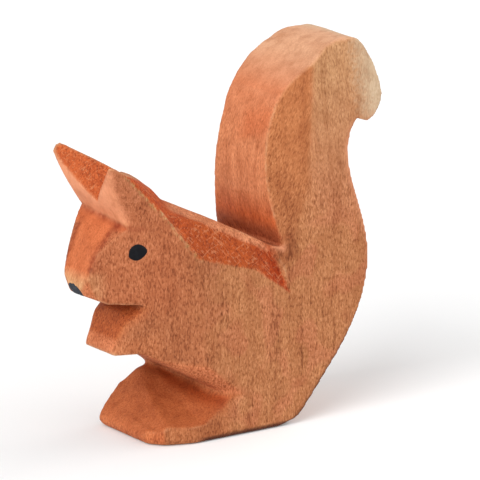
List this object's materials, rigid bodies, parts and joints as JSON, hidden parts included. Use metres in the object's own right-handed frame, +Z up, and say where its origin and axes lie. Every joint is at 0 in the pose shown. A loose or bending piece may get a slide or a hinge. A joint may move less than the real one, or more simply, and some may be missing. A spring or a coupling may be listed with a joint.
{
  "type": "squirrel figurine",
  "caption": "Knife-carved wooden squirrel standing on its feet, paws held under the chin and tail curled up behind, with painted eyes and nose.",
  "frame": {"origin": "middle of the overall length and width, on the table that the base rests on", "axes": "+Z up; the squirrel faces -X; its left flank is towards -Y"},
  "size_m": [0.0566, 0.021, 0.065],
  "materials": {
    "stained_wood": "thin russet stain over pale wood, matt, with open grain",
    "eye_paint": "hand-dabbed black paint, satin",
    "nose_paint": "hand-dabbed slate-black paint, matt"
  },
  "bodies": {
    "root": {"carved_body": "stained_wood", "left_eye": "eye_paint", "right_eye": "eye_paint", "nose": "nose_paint"}
  },
  "joints": []
}
